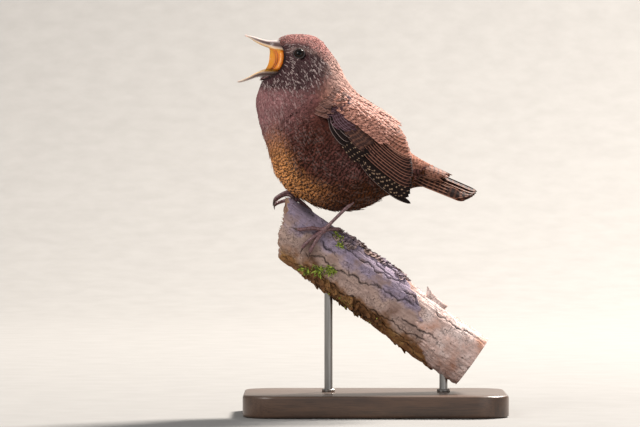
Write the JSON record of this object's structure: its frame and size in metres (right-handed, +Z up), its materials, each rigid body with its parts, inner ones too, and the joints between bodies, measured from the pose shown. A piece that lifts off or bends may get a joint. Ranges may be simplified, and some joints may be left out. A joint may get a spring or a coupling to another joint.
{
  "type": "wren",
  "caption": "Life-size still model of a small plump brown songbird in full song, bill wide open, gripping the broken end of a sloping branch on a flat display stand.",
  "frame": {"origin": "centre of the stand base's underside", "axes": "+Z up, the bird faces -X, and its left side faces -Y"},
  "size_m": [0.0982, 0.062, 0.1387],
  "materials": {
    "head_plumage": "feathers, warm brown with fine pale streaks, modelled as matt solid",
    "body_plumage": "feathers, buff brown with fine dark bars, modelled as matt solid",
    "wing_feathers": "feathers, rufous and dark brown bars, modelled as matt solid",
    "bill": "horn, pale with a darker ridge",
    "mouth": "moist yellow-orange skin",
    "eye": "very dark brown, wet shine",
    "leg": "scaled skin, pinkish brown, dark horn claws",
    "branch": "weathered bark, grey above and tan beneath",
    "stand_rod": "satin",
    "stand_base": "dark stained, satin"
  },
  "bodies": {
    "root": {"head": "head_plumage", "neck": "body_plumage", "torso": "body_plumage", "bill_upper": "bill", "bill_lower": "bill", "mouth_lining": "mouth", "tongue": "mouth", "eye_left": "eye", "eye_right": "eye", "wing_left": "wing_feathers", "wing_right": "wing_feathers", "tail": "wing_feathers", "leg_left": "leg", "leg_right": "leg", "foot_left": "leg", "foot_right": "leg", "perch_branch": "branch", "stand_rod_front": "stand_rod", "stand_rod_rear": "stand_rod", "stand_base": "stand_base"}
  },
  "joints": []
}
